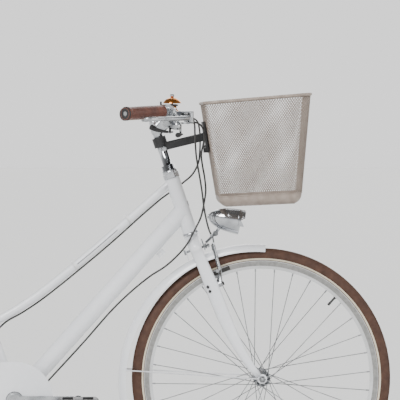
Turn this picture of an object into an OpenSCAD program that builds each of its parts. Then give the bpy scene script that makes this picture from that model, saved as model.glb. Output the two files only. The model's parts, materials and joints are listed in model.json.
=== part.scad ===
/* [Wheels] */
// Outside diameter of both tyres
tyre_d = 700; // [696:1:704]
// Width of both tyres
tyre_w = 38; // [36:1:40]
// Teeth on the chainring
ring_teeth = 44; // [42:1:46]

/* [Frame] */
// Distance between the two wheel axles
wheelbase = 1120; // [1115:1:1130]
// Lean of the steering axis from upright, in degrees
head_lean = 18.4; // [18:0.1:19]
// Diameter of the down tube
down_tube_d = 47; // [44:1:48]
// Diameter of the top tube
top_tube_d = 22; // [20:1:24]

/* [Seat] */
// Height of the saddle above the ground
saddle_z = 955; // [930:5:980]

/* [Basket] */
// Width of the basket at its rim
basket_w = 350; // [340:5:360]
// Thickness of the basket wall
basket_wall = 1.6; // [1.4:0.1:2]

/* [Hidden] */
$fn = 64;
fit = 0.05;

wheel_r = tyre_d / 2;
rear_reach = 390;
front_x = (wheelbase + rear_reach - wheel_r) / 2;
rear_x = front_x - wheelbase;

// A point given from the front axle: x forward of it, z above the ground.
function at(x, y, z) = [front_x + x, y, z];

// Steering axis: the fork crown's race seat, with the axle ahead of the axis by the rake.
rake = 58.5;
fork_drop = 425.2;
lean_c = cos(head_lean);
lean_s = sin(head_lean);
crown = [front_x - rake * lean_c - fork_drop * lean_s, 0, wheel_r - rake * lean_s + fork_drop * lean_c];
function steer_at(x, y, z) = crown + [x * lean_c - z * lean_s, y, x * lean_s + z * lean_c];

// Headset and steerer, measured up the steering axis from the crown.
head_tube_z = [8.4, 162.3];
head_tube_r = 20;
steerer_r = 12.7;
cup_r = 21.5;
cup_top = 176;
locknut_top = 200;
stem_r = 12.5;

// Wheel sections, measured out from the axle.
rim_r = [294.5, 317];
rim_half = 12;
rim_wall = 2.5;
bead_r = 306.3;
tyre_mid = wheel_r - tyre_w / 2;
valve_angle = 42.8;
spoke_r = 1;
nipple_r = 2;
spoke_count = 36;
spoke_phase = 7;
spoke_circles = [19, 27];
flange_y = 33.5;
flange_step = 2.4;

// Front fender: its arc stands a little behind and below the axle.
fender_mid = 344.4;
fender_r = 25.6;
fender_t = 1.2;
fender_edge = 350;
front_fender_centre = [-16, -9];
front_fender_tip = 4.2;

// Drive
bracket = at(-664, 0, 295);
chain_line = 47.5;
pitch = 12.7;
sprocket_teeth = 16;
ring_r = pitch / (2 * sin(180 / ring_teeth));
sprocket_r = pitch / (2 * sin(180 / sprocket_teeth));
crank_length = 170;
crank_y = 68;
pedal_y = [84, 184];
rear_axle = [rear_x, 0, wheel_r];

// Seat
seat_lean = 20;
seat_dir = [-sin(seat_lean), 0, cos(seat_lean)];
seat_tube_length = 474;
seat_top = bracket + seat_dir * seat_tube_length;
post_r = 13.6;
post_length = (saddle_z - 52 - bracket[2]) / cos(seat_lean);

// Tubes
down_top = at(-211.7, 0, 801);
top_path = [at(-238, 0, 881), at(-286, 0, 840), at(-336, 0, 796), at(-388, 0, 750), at(-442, 0, 703),
    at(-496, 0, 658), at(-550, 0, 614), at(-603, 0, 573), at(-655, 0, 538), at(-700, 0, 512), at(-740, 0, 494)];
stay_front = 28;
stay_back = 64;

// Handlebar, right half, from its middle to the grip; the left half mirrors it.
bar_path = [[-241, 0, 1055], [-239, 25, 1055.5], [-236, 50, 1057], [-237, 78, 1060], [-240, 105, 1064],
    [-245, 133, 1067], [-252, 160, 1069], [-260, 182, 1069], [-272, 201, 1068]];
bar_r = 11.1;
grip_start = [-270, 199, 1068];
grip_end = [-366, 292, 1062];
grip_r = 17.5;

// Basket: corners of the side view, from the front axle.
basket_low = [[-119, 814], [102, 824]];
basket_high = [[-160, 1091], [123, 1115]];
basket_low_w = 270;
basket_corner = 30;
foot_corner = 25;
rim_wire = 4.2;

// Lamp
lamp_pivot = at(-124, 0, 740);
lamp_front = at(-63, 0, 771);
lamp_tilt = 10.8;
lamp_r = 34;

// Bell
bell = at(-243, -105, 1090);
bell_r = 25;

// Brake boss and pad, in the steering frame.
boss = [34, 44, -147];
pad = [40, 0, -117.2];
pad_turn = 3.4;

// Cable routes, from the front axle.
cable_r = 2.5;
front_brake_route = [[-206, -168, 1052], [-192, -164, 1051], [-185, -152, 1036], [-183, -128, 1008],
    [-181, -102, 980], [-178, -78, 950], [-173, -62, 920], [-167, -50, 888], [-161, -44, 850], [-156, -40, 810],
    [-149, -36, 775], [-142, -28, 750], [-134, -18, 733]];
shift_route = [[-203, -150, 1038], [-188, -142, 1040], [-173, -134, 1036], [-162, -122, 1024], [-157, -104, 1003],
    [-160, -80, 978], [-164, -58, 953], [-160, -42, 922], [-154, -32, 890], [-151, -27, 855], [-156, -27, 820],
    [-164, -30, 785], [-180, -36, 752], [-200, -40, 715], [-225, -36, 684], [-260, -27, 652], [-302, -15, 624],
    [-354, -5, 581], [-408, 0, 528], [-480, 0, 446], [-560, 0, 359], [-612, 0, 302], [-636, 0, 272],
    [-664, -4, 262], [-700, -18, 270], [-740, -30, 284], [-800, -38, 296], [-900, -48, 309], [-1000, -57, 320],
    [-1072, -62, 328]];
rear_brake_route = [[-199.4, 165, 1052], [-190, 160, 1052], [-178, 150, 1050], [-168, 130, 1041],
    [-164, 104, 1022], [-163, 76, 998], [-164, 56, 966], [-168, 43, 932], [-184, 34, 900], [-208, 32, 878],
    [-232, 26, 860], [-254, 12, 845], [-277, 2, 828], [-327, 0, 785], [-379, 0, 738], [-433, 0, 691],
    [-487, 0, 646], [-541, 0, 602], [-594, 2, 561], [-644, 10, 527], [-690, 20, 500], [-716, 24, 470],
    [-722, 26, 430], [-722, 30, 380], [-732, 36, 340], [-752, 41, 322], [-800, 47, 322], [-880, 55, 332],
    [-960, 58, 345], [-1020, 58, 356], [-1042, 57, 362]];

// Stand: the feet rest ahead of the axle, so the load holds it open.
stand_foot = [115, 7];
stand_y = [78, 122];

// ---- shared shapes ----
function unit(v) = v / norm(v);
function mix(a, b, t) = a + (b - a) * t;
function from_axle(route) = [for (p = route) at(p[0], p[1], p[2])];

module along(a, b) {
    v = b - a;
    translate(a) rotate([0, acos(v[2] / norm(v)), atan2(v[1], v[0])]) children();
}

module rod(a, b, r) {
    along(a, b) cylinder(h = norm(b - a), r = r);
}

module pipe(a, b, r, wall) {
    along(a, b) difference() {
        cylinder(h = norm(b - a), r = r);
        translate([0, 0, -1]) cylinder(h = norm(b - a) + 2, r = r - wall);
    }
}

// A tube through the points of a path; rad is one radius or one for each point, flat narrows it sideways.
module sweep(path, rad, sides = 12, flat = 1, up = [0, 1, 0]) {
    last = len(path) - 1;
    rings = [for (i = [0 : last])
        let (t = unit(path[min(i + 1, last)] - path[max(i - 1, 0)]), a = unit(cross(up, t)), b = cross(t, a),
            r = is_list(rad) ? rad[i] : rad)
        for (j = [0 : sides - 1]) path[i] + r * (a * cos(360 * j / sides) + b * flat * sin(360 * j / sides))];
    sides_faces = [for (i = [0 : last - 1], j = [0 : sides - 1], k = [0, 1])
        let (a = i * sides + j, b = i * sides + (j + 1) % sides)
        k == 0 ? [a, a + sides, b + sides] : [a, b + sides, b]];
    caps = [[for (j = [0 : sides - 1]) j], [for (j = [0 : sides - 1]) last * sides + sides - 1 - j]];
    polyhedron(points = rings, faces = concat(sides_faces, caps), convexity = 4);
}

module steered() {
    translate(crown) rotate([0, -head_lean, 0]) children();
}

// Turns a profile of radius against width about an axle that runs along Y.
module wheel_ring() {
    rotate([-90, 0, 0]) rotate_extrude($fn = 96) children();
}

module disc(c, y0, y1, r) {
    translate([c[0], y0, c[2]]) rotate([-90, 0, 0]) cylinder(h = y1 - y0, r = r);
}

module nut(c, y0, y1, r) {
    translate([c[0], y0, c[2]]) rotate([-90, 0, 0]) cylinder(h = y1 - y0, r = r, $fn = 6);
}

// ---- frame ----
module head_tube() color("white") steered() difference() {
    translate([0, 0, head_tube_z[0]]) cylinder(h = head_tube_z[1] - head_tube_z[0], r = head_tube_r);
    cylinder(h = 200, r = 17);
}

module head_tube_space() steered() cylinder(h = 200, r = head_tube_r);

module down_tube() color("white") {
    difference() {
        pipe(down_top, bracket, down_tube_d / 2, 1.4);
        head_tube_space();
        disc(bracket, -60, 60, 20.5);
    }
    difference() {
        translate(at(-284, -3, 684)) rotate([0, 48.2, 0]) cube([14, 6, 22]);
        rod(down_top, bracket, down_tube_d / 2 - 0.5);
        disc(at(-272, 0, 684), -10, 10, 2.6);
    }
}

module top_tube() color("white") difference() {
    sweep(top_path, top_tube_d / 2, sides = 20);
    sweep(top_path, top_tube_d / 2 - 1.4, sides = 20);
    head_tube_space();
    rod(bracket, seat_top, 15);
}

module seat_tube() color("white") difference() {
    rod(bracket, seat_top, 15);
    rod(bracket - seat_dir * 5, seat_top + seat_dir * 5, post_r + fit);
    disc(bracket, -60, 60, 20.5);
}

module bottom_bracket_shell() color("white") difference() {
    disc(bracket, -34, 34, 20.5);
    disc(bracket, -40, 40, 12 + fit);
}

module chain_stays() color("white") for (s = [-1, 1]) difference() {
    union() {
        rod(at(-680, s * stay_front, 298), at(-1106, s * stay_back, 348.5), 8);
        disc(rear_axle, s > 0 ? 62 : -67, s > 0 ? 67 : -62, 19);
    }
    disc(bracket, -60, 60, 20.5);
    disc(rear_axle, s > 0 ? 67 : -90, s > 0 ? 90 : -67, 26);
    disc(rear_axle, s > 0 ? 40 : -62, s > 0 ? 62 : -40, 26);
    disc(rear_axle, -80, 80, 5.05);
}

module seat_stays() color("white") {
    for (s = [-1, 1]) difference() {
        rod(seat_top + [6, s * 15, -20], at(-1106, s * 65, 371), 6.5);
        rod(bracket, seat_top, 15);
        disc(rear_axle, -80, 80, 26);
    }
    difference() {
        rod(at(-905, -40, 643), at(-905, 40, 643), 5);
        for (s = [-1, 1]) rod(seat_top + [6, s * 15, -20], at(-1106, s * 65, 371), 6.5);
    }
}

module headset_cups() color("silver") steered() {
    difference() {
        union() {
            translate([0, 0, 2.4]) cylinder(h = head_tube_z[0] - 2.4, r = cup_r);
            translate([0, 0, head_tube_z[0]]) cylinder(h = 10, r = 17);
        }
        cylinder(h = 30, r = steerer_r + fit);
    }
    difference() {
        union() {
            translate([0, 0, head_tube_z[1]]) cylinder(h = cup_top - head_tube_z[1], r = cup_r);
            translate([0, 0, head_tube_z[1] - 10]) cylinder(h = 10, r = 17);
        }
        translate([0, 0, 140]) cylinder(h = 60, r = steerer_r + fit);
    }
}

module seat_clamp() color("silver") difference() {
    union() {
        rod(seat_top - seat_dir * 12, seat_top + seat_dir * 8, 19);
        rod(seat_top + [22, -12, -2], seat_top + [22, 12, -2], 6);
        rod(seat_top + [22, 12, -2], seat_top + [-16, 22, 2], 3.5);
    }
    rod(seat_top - seat_dir * 30, seat_top, 15);
    rod(seat_top - seat_dir * 30, seat_top + seat_dir * 30, post_r + fit);
}

// ---- fenders ----
module fender_arc(start, sweep_angle, r = fender_r) {
    rotate([90, -start, 0]) rotate_extrude(angle = sweep_angle, $fn = 96) intersection() {
        translate([fender_mid, 0]) difference() {
            circle(r);
            circle(r - fender_t);
        }
        translate([fender_edge, -40]) square([60, 80]);
    }
}

module front_fender() color("white") {
    translate(at(front_fender_centre[0], 0, wheel_r + front_fender_centre[1]))
        fender_arc(90 - front_fender_tip, 118);
    steered() translate([-28, -8, -64]) cube([2, 16, 32]);
    for (s = [-1, 1]) difference() {
        union() {
            disc([front_x, 0, wheel_r], s > 0 ? 55.2 : -58.8, s > 0 ? 58.8 : -55.2, 9);
            rod(at(-6, s * 57, wheel_r), at(-366, s * 26, 372), 1.7);
        }
        disc([front_x, 0, wheel_r], -70, 70, 4.95);
    }
}

module rear_fender() color("white") {
    translate(rear_axle) fender_arc(12, 158, fender_r + 2);
    for (s = [-1, 1]) difference() {
        union() {
            disc(rear_axle, s > 0 ? 68 : -72, s > 0 ? 72 : -68, 11);
            rod(rear_axle + [-6, s * 70, 4], rear_axle + [-330, s * 27.5, 118], 1.8);
            rod(rear_axle + [-2, s * 70, 8], rear_axle + [-170, s * 27.5, 306], 1.8);
        }
        disc(rear_axle, -80, 80, 5.05);
    }
}

module rear_reflector() color("red") {
    translate(rear_axle) rotate([0, 15, 0]) translate([-390, -22, -16]) cube([19, 44, 32]);
}

// ---- drive ----
function tooth_outline(teeth, root, tip) = [for (i = [0 : teeth - 1], k = [0 : 3])
    let (a = (i + [-0.3, -0.1, 0.1, 0.3][k]) * 360 / teeth, r = [root, tip, tip, root][k])
    [r * cos(a), r * sin(a)]];

module toothed(teeth, pitch_radius, y0, y1) {
    rotate([90, 0, 0]) translate([0, 0, -y1]) linear_extrude(y1 - y0)
        polygon(tooth_outline(teeth, pitch_radius - 4, pitch_radius + 3.2));
}

module chainring() color("silver") translate(bracket) difference() {
    toothed(ring_teeth, ring_r, -chain_line - 1.5, -chain_line + 1.5);
    disc([0, 0, 0], -60, -30, 30);
    for (a = [36 : 72 : 359]) disc([62 * cos(a), 0, 62 * sin(a)], -60, -30, 14);
}

module crank_arm(side, angle) {
    y0 = side > 0 ? crank_y - 7 : -crank_y - 7;
    rotate([0, -angle, 0]) difference() {
        union() {
            disc([0, 0, 0], y0, y0 + 14, 18);
            disc([crank_length, 0, 0], y0, y0 + 14, 14);
            translate([0, y0, -12]) cube([crank_length, 14, 24]);
        }
        disc([crank_length, 0, 0], y0 - 1, y0 + 15, 7 + fit);
        if (side > 0) disc([0, 0, 0], y0 - 1, y0 + 10, 9);
    }
}

module right_crank() color("silver") translate(bracket) {
    crank_arm(-1, 0);
    disc([0, 0, 0], -66, 70, 12);
    disc([0, 0, 0], -66, -49, 22);
    for (a = [54 : 72 : 359]) rotate([0, -a, 0]) translate([14, -53, -6]) cube([64, 3.6, 12]);
}

module left_crank() color("silver") translate(bracket) difference() {
    crank_arm(1, 180);
    disc([0, 0, 0], 50, 71, 12);
}

module pedal(side) {
    inner = side > 0 ? pedal_y[0] : -pedal_y[1];
    difference() {
        union() {
            translate([-44, inner + 6, -12]) cube([88, 90, 24]);
            for (x = [-44, 44]) disc([x, 0, 0], inner + 6, inner + 96, 12);
        }
        for (x = [-27, 27]) translate([x - 14, inner + 16, -20]) cube([28, 70, 40]);
    }
    axle_end = pedal_y[0] + 10;
    disc([0, 0, 0], side > 0 ? crank_y - 7 : -axle_end, side > 0 ? axle_end : 7 - crank_y, 7);
}

module right_pedal() color("black") translate(bracket + [crank_length, 0, 0]) pedal(-1);

module left_pedal() color("black") translate(bracket - [crank_length, 0, 0]) pedal(1);

// Outline of the chain's loop at a given offset from its pitch line, seen in the chain's own plane.
loop_length = norm(rear_axle - bracket);
loop_angle = atan2(rear_axle[2] - bracket[2], rear_axle[0] - bracket[0]);
wrap = asin((ring_r - sprocket_r) / loop_length);
function loop_outline(offset, steps = 14) = concat(
    [for (i = [0 : steps]) let (a = 90 - wrap + i * (180 + 2 * wrap) / steps)
        (ring_r + offset) * [cos(a), sin(a)]],
    [for (i = [0 : steps]) let (a = 270 + wrap + i * (180 - 2 * wrap) / steps)
        [loop_length, 0] + (sprocket_r + offset) * [cos(a), sin(a)]]);

module chain() color("dimgray") translate(bracket) rotate([90, 180 - loop_angle + 180, 0]) {
    for (y = [chain_line - 4.2, chain_line + 3.2]) translate([0, 0, y]) linear_extrude(1) difference() {
        polygon(loop_outline(4));
        polygon(loop_outline(-4));
    }
    run = loop_length * cos(wrap);
    for (s = [-1, 1], d = [50 : pitch * 2 : run - 30])
        translate([ring_r * sin(wrap) + d * cos(wrap), s * (ring_r * cos(wrap) - d * sin(wrap)), chain_line - 4.2])
            cylinder(h = 8.4, r = 2.6);
}

module chain_guard() color("white") translate(bracket) difference() {
    union() {
        translate([0, -57.5, 0]) rotate([90, 0, 0]) linear_extrude(1.5) polygon(concat(
            [for (a = [-40 : 8 : 90]) 104 * [cos(a), sin(a)]], [[-150, 100], [-330, 84], [-350, 66], [-330, 52],
            [-110, 36], [-60, -10], [-20, -50]]));
        translate([-150, -58, 88]) cube([12, 24, 6]);
    }
    disc([0, 0, 0], -70, -40, 24);
}

// ---- seat ----
post_top = bracket + seat_dir * post_length;
module seatpost() color("silver") {
    pipe(post_top - seat_dir * 300, post_top, post_r, 1.7);
    rod(post_top + [0, -26, 4], post_top + [0, 26, 4], 9);
    for (s = [-1, 1]) sweep([for (p = [[150, 22, 31], [110, 22, 14], [60, 22, 6], [-60, 22, 6], [-90, 28, 16],
        [-108, 40, 30]]) post_top + [p[0], s * p[1], p[2]]], 3.5, sides = 12);
}

module saddle() color("saddlebrown") translate(post_top + [0, 0, 30]) {
    hull() {
        translate([-88, 0, 6]) rotate([0, 90, 0]) cylinder(h = 60, r1 = 20, r2 = 20, $fn = 32);
        for (s = [-1, 1]) translate([-78, s * 66, 2]) sphere(17, $fn = 32);
        translate([40, 0, 6]) sphere(16, $fn = 32);
    }
    hull() {
        translate([30, 0, 3]) sphere(18, $fn = 32);
        translate([0, 0, 3]) sphere(18, $fn = 32);
        translate([150, 0, 0]) sphere(15, $fn = 32);
    }
}

// ---- wheels ----
module tyre(x) color("saddlebrown") translate([x, 0, wheel_r]) {
    wheel_ring() difference() {
        union() {
            translate([tyre_mid, 0]) circle(tyre_w / 2);
            translate([bead_r, -9.3]) square([20, 18.6]);
        }
        translate([tyre_mid, 0]) circle(tyre_w / 2 - 3.5);
        translate([290, -2.5]) square([tyre_mid - 290, 5]);
        translate([290, 9.4]) square([rim_r[1] - 289.9, 20]);
        translate([290, -29.4]) square([rim_r[1] - 289.9, 20]);
    }
    rotate([0, valve_angle, 0]) translate([0, 0, 264]) cylinder(h = 43, r = 3);
}

module wheel_rim(x) color("silver") translate([x, 0, wheel_r]) difference() {
    wheel_ring() {
        translate([rim_r[0], -rim_half + 2]) square([4, 2 * rim_half - 4]);
        polygon([[rim_r[0], -8], [rim_r[0] + 8, -rim_half], [bead_r, -rim_half], [bead_r, rim_half],
            [rim_r[0] + 8, rim_half], [rim_r[0], 8]]);
        for (s = [-1, 1]) translate([bead_r - 1, s > 0 ? rim_half - rim_wall : -rim_half])
            square([rim_r[1] - bead_r + 1, rim_wall]);
    }
    rotate([0, valve_angle, 0]) translate([0, 0, 200]) cylinder(h = 120, r = 3.1);
}

// Three-cross lacing: each spoke leaves its flange 60 degrees from where it meets the rim.
module spokes(x, circle_r) color("silver") translate([x, 0, wheel_r]) for (i = [0 : spoke_count - 1]) {
    side = i % 2 == 0 ? -1 : 1;
    lead = floor(i / 2) % 2 == 0 ? 1 : -1;
    rim_a = i * 360 / spoke_count + spoke_phase;
    hub_a = rim_a + lead * 60;
    inner = [circle_r * sin(hub_a), side * (flange_y + lead * flange_step), circle_r * cos(hub_a)];
    outer = [296 * sin(rim_a), side * 2, 296 * cos(rim_a)];
    rod(inner, outer, spoke_r);
    rod(mix(inner, outer, 0.966), outer, nipple_r);
}

module front_hub() color("silver") translate([front_x, 0, wheel_r]) wheel_ring() polygon([[4.95, -49.5],
    [9, -49.5], [9, -41], [12, -38], [12, -35], [22.5, -35], [22.5, -32], [13, -29], [11, -18], [11, 18], [13, 29],
    [22.5, 32], [22.5, 35], [12, 35], [12, 38], [9, 41], [9, 49.5], [4.95, 49.5]]);

module rear_hub() color("silver") translate(rear_axle) wheel_ring() polygon([[5.05, -44], [14, -44], [14, -38],
    [24, -35], [30, -35], [30, -32], [26, -29], [26, 29], [30, 32], [30, 35], [24, 36.5], [5.05, 36.5]]);

module rear_sprocket() color("dimgray") translate(rear_axle) difference() {
    union() {
        toothed(sprocket_teeth, sprocket_r, -chain_line - 1.5, -chain_line + 1.5);
        disc([0, 0, 0], -56, -chain_line, 17);
    }
    disc([0, 0, 0], -60, -40, 5.1);
    disc([0, 0, 0], -47, -40, 14.4);
}

module axle_set(c, half, r, face) {
    disc(c, -half, half, r);
    nut(c, face, face + 8, 9.5);
    nut(c, -face - 8, -face, 9.5);
}

module front_axle() color("silver") axle_set([front_x, 0, wheel_r], 70, 4.9, 59);

module rear_axle_node() color("silver") {
    axle_set(rear_axle, 92, 5, 83.6);
    disc(rear_axle, -62, -57, 10);
    disc(rear_axle, 52.5, 62, 10);
}

module roller_brake() color("dimgray") difference() {
    union() {
        disc(rear_axle, 38, 52, 46);
        translate(rear_axle + [30, 52, 20]) rotate([-90, 0, 0]) cylinder(h = 6, r = 3.5);
    }
    disc(rear_axle, 30, 60, 5);
}

module roller_brake_arm() color("silver") translate(rear_axle + [30, 0, 20]) difference() {
    union() {
        disc([0, 0, 0], 52.5, 56, 8);
        translate([0, 52.5, -4]) cube([34, 3.5, 8]);
    }
    disc([0, 0, 0], 50, 60, 3.55);
}

// ---- fork ----
blade_path = [[0, 41, -38], [4, 42, -80], [7, 43, -120], [10, 44, -170], [14, 45, -235], [20, 47, -290],
    [30, 49, -345], [42, 51, -390], [52, 52.5, -414]];
blade_radii = [15.5, 16, 17.5, 18.5, 18, 15.5, 12.5, 10, 8.5];

module fork() color("white") steered() {
    cylinder(h = 190, r = steerer_r);
    difference() {
        hull() {
            translate([0, 0, -12]) cylinder(h = 12, r = 20, $fn = 32);
            for (s = [-1, 1]) translate([0, s * 38, -36]) sphere(17, $fn = 32);
        }
        translate([0, 0, -100]) cylinder(h = 100 - 12, r = 10);
        rotate([0, 90, 0]) translate([40, 0, -50]) cylinder(h = 100, r = 3.2);
    }
    for (s = [-1, 1]) {
        difference() {
            sweep([for (p = blade_path) [p[0], s * p[1], p[2]]], blade_radii, sides = 20, flat = 0.62);
            sweep([for (i = [2 : 7]) [blade_path[i][0], s * blade_path[i][1], blade_path[i][2]]],
                [for (i = [2 : 7]) blade_radii[i] - 2.2], sides = 20, flat = 0.62);
            rod([30, s * 20, -345], [30, s * 49, -345], 1.6);
        }
        difference() {
            union() {
                disc([rake, 0, -fork_drop], s > 0 ? 50 : -55, s > 0 ? 55 : -50, 13);
                rod([50, s * 52.5, -408], [rake, s * 52.5, -fork_drop], 4.5);
            }
            disc([rake, 0, -fork_drop], -60, 60, 4.95);
            disc([rake, 0, -fork_drop], s > 0 ? 45 : -50, s > 0 ? 50 : -45, 30);
        }
        rod([16, s * boss[1], boss[2]], [38, s * boss[1], boss[2]], 4);
        rod([16, s * boss[1], boss[2]], [28, s * boss[1], boss[2]], 7);
    }
}

// ---- steering ----
module stem() color("silver") {
    steered() difference() {
        union() {
            translate([0, 0, cup_top + 0.6]) cylinder(h = 10, r = 20, $fn = 64);
            translate([0, 0, cup_top + 10.6]) cylinder(h = locknut_top - cup_top - 10.6, r = 18);
        }
        cylinder(h = 190, r = steerer_r);
    }
    steered() translate([0, 0, 190.2]) cylinder(h = 128, r = stem_r);
    steered() translate([0, 0, 318.2]) sphere(stem_r);
    difference() {
        hull() {
            translate(steer_at(0, 0, 296)) sphere(15, $fn = 32);
            translate(at(-243, -22, 1052)) rotate([-90, 0, 0]) cylinder(h = 44, r = 16, $fn = 32);
        }
        translate(at(-241, -60, 1055)) rotate([-90, 0, 0]) cylinder(h = 120, r = 12.7);
    }
}

module handlebar() color("silver") {
    half = from_axle(bar_path);
    radii = [12.7, 12.7, 12.2, bar_r, bar_r, bar_r, bar_r, bar_r, bar_r];
    whole = concat([for (i = [8 : -1 : 1]) [half[i][0], -half[i][1], half[i][2]]], half);
    difference() {
        bar_run(whole, concat([for (i = [8 : -1 : 1]) radii[i]], radii), bar_r, 0);
        bar_run(whole, concat([for (i = [8 : -1 : 1]) radii[i] - 1.6], radii - [for (r = radii) 1.6]), bar_r - 1.6, 1);
    }
}

module bar_run(path, radii, r, past) {
    sweep(path, radii, sides = 24, up = [1, 0, 0.1]);
    for (s = [-1, 1]) {
        a = at(grip_start[0], s * grip_start[1], grip_start[2]);
        b = at(grip_end[0], s * grip_end[1], grip_end[2]);
        rod(a, b + unit(b - a) * past, r);
    }
}

module grips() color("saddlebrown") for (s = [-1, 1]) {
    a = at(grip_start[0], s * grip_start[1], grip_start[2]);
    b = at(grip_end[0], s * grip_end[1], grip_end[2]);
    out = unit(b - a);
    difference() {
        union() {
            rod(a, b, grip_r);
            rod(b, b + out * 5, grip_r + 1.5);
        }
        rod(a - out, b, bar_r);
    }
}

// Height of the basket's bottom or rim line, and its slope, at a distance ahead of the front axle.
function edge_lean(edge) = atan2(edge[1][1] - edge[0][1], edge[1][0] - edge[0][0]);
function edge_z(edge, x) = edge[0][1] + (x - edge[0][0]) * tan(edge_lean(edge));

module basket_body(inset) hull() for (e = [0, 1], s = [-1, 1]) {
    low_x = basket_low[e][0] + (e == 0 ? 1 : -1) * foot_corner;
    high_x = basket_high[e][0] + (e == 0 ? 1 : -1) * basket_corner;
    translate([low_x, s * (basket_low_w / 2 - foot_corner), edge_z(basket_low, low_x) + foot_corner])
        rotate([0, -edge_lean(basket_low), 0]) sphere(foot_corner - inset, $fn = 32);
    translate([high_x, s * (basket_w / 2 - basket_corner), edge_z(basket_high, high_x)])
        rotate([0, -edge_lean(basket_high), 0]) translate([0, 0, -0.5])
            cylinder(h = 0.5 + 2 * inset, r = basket_corner - inset, $fn = 32);
}

module basket() color("rosybrown") translate([front_x, 0, 0]) {
    difference() {
        basket_body(0);
        basket_body(basket_wall);
    }
    translate([basket_high[0][0], 0, basket_high[0][1]]) rotate([0, -edge_lean(basket_high), 0]) rim_loop();
}

module rim_loop() {
    run = norm(basket_high[1] - basket_high[0]);
    half = basket_w / 2;
    for (s = [-1, 1]) rod([basket_corner, s * half, 0], [run - basket_corner, s * half, 0], rim_wire);
    for (x = [0, run]) rod([x, basket_corner - half, 0], [x, half - basket_corner, 0], rim_wire);
    for (q = [0 : 3]) translate([q == 0 || q == 3 ? run - basket_corner : basket_corner,
        (q < 2 ? 1 : -1) * (half - basket_corner), 0]) rotate([0, 0, q * 90]) rotate_extrude(angle = 90)
            translate([basket_corner, 0]) circle(rim_wire);
}

module basket_bracket() color("black") {
    steered() difference() {
        translate([0, 0, 252]) cylinder(h = 26, r = 18.5);
        translate([0, 0, 240]) cylinder(h = 60, r = stem_r);
    }
    difference() {
        along(at(-262, 0, 975), at(-150, 0, 1002)) translate([-11, -14, 0]) cube([22, 28, 115.2]);
        steered() translate([0, 0, 240]) cylinder(h = 60, r = 16);
    }
    translate(at(-151, 0, 1002)) rotate([0, -8.5, 0]) translate([-4, -65, -44]) cube([5.4, 130, 84]);
    rod(at(-136, -48, 968) - [22, 0, 0], at(-136, -48, 968) - [7, 0, 0], 10);
}

// ---- controls ----
module lever_bracket() color("silver") {
    rod(at(-249, 150, 1067), at(-255, 172, 1069), 17);
    rod(at(-248, 158, 1066), at(-208, 170, 1052), 9);
    rod(at(-212, 169, 1046), at(-212, 169, 1058), 11);
}

module shifter_housing() color("silver") {
    rod(at(-249, -150, 1067), at(-255, -172, 1069), 17);
    rod(at(-248, -158, 1066), at(-208, -170, 1052), 9);
    rod(at(-212, -169, 1046), at(-212, -169, 1058), 11);
    hull() {
        translate(at(-232, -150, 1030)) sphere(11, $fn = 32);
        translate(at(-232, -178, 1030)) sphere(11, $fn = 32);
        translate(at(-262, -150, 1034)) sphere(9, $fn = 32);
        translate(at(-248, -160, 1060)) sphere(12, $fn = 32);
    }
    rod(at(-250, -160, 1010), at(-250, -160, 1034), 3);
    rod(at(-222, -160, 1004), at(-222, -160, 1034), 3);
}

// The lever swings about an upright pin just ahead of the bar.
module brake_lever(side) difference() {
    union() {
        rod(at(-196, side * 185, 1040), at(-196, side * 185, 1064), 8);
        sweep([for (p = [[-196, 185, 1052], [-206, 200, 1051], [-224, 218, 1050], [-252, 242, 1049],
            [-284, 270, 1048], [-316, 300, 1047]]) at(p[0], side * p[1], p[2])], [7, 7.5, 7, 6.5, 6.5, 7],
            sides = 12, flat = 0.9, up = [0, 0, 1]);
    }
    rod(at(-196, side * 185, 1030), at(-196, side * 185, 1074), 3.05);
}

module left_brake_lever() color("silver") brake_lever(1);

module right_brake_lever() color("silver") brake_lever(-1);

module lever_ears(side) for (z = [1035.5, 1064.4]) hull() {
    translate(at(-196, side * 185, z)) cylinder(h = 4, r = 8, $fn = 32);
    translate(at(-212, side * 169, z)) cylinder(h = 4, r = 9, $fn = 32);
}

module thumb_lever() color("black") translate(at(-250, -160, 1012)) {
    difference() {
        cylinder(h = 4, r = 9);
        translate([0, 0, -1]) cylinder(h = 10, r = 3 + fit);
    }
    sweep([[-6, -3, 2], [-20, -8, 4], [-36, -16, 8], [-50, -25, 15]], [4, 5, 7, 9], sides = 12, flat = 0.85,
        up = [0, 0, 1]);
}

module release_lever() color("black") translate(at(-222, -160, 1006)) {
    difference() {
        cylinder(h = 4, r = 7);
        translate([0, 0, -1]) cylinder(h = 10, r = 3 + fit);
    }
    sweep([[-1, -5, 2], [-2, -16, 1], [-8, -34, 0]], [4, 5.5, 7.5], sides = 12, flat = 0.9, up = [0, 0, 1]);
}

module bell() color("peru") {
    translate(bell + [3, 0, -27]) cylinder(h = 25, r = 9);
    translate(bell + [3, 0, -27]) rotate([90, 0, 0]) translate([0, 0, -7]) cylinder(h = 14, r = 15);
    translate(bell) difference() {
        intersection() {
            translate([0, 0, -11.5]) sphere(27.5);
            cylinder(h = 40, r = 30);
        }
        intersection() {
            translate([0, 0, -11.5]) sphere(26.3);
            translate([0, 0, -1]) cylinder(h = 40, r = 30);
        }
    }
    translate(bell + [0, 0, -3]) cylinder(h = 22, r = 2);
    translate(bell + [0, 0, 16]) cylinder(h = 6, r = 4.5);
}

module bell_striker() color("black") translate(bell + [3, 0, 0]) {
    difference() {
        translate([0, 0, -7]) cylinder(h = 4, r = 13);
        translate([0, 0, -8]) cylinder(h = 6, r = 9.05);
    }
    rod([-11, 0, -5], [-33, 0, -5], 2);
    rod([-33, 0, -5], [-33, 0, 5], 2.6);
}

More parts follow.
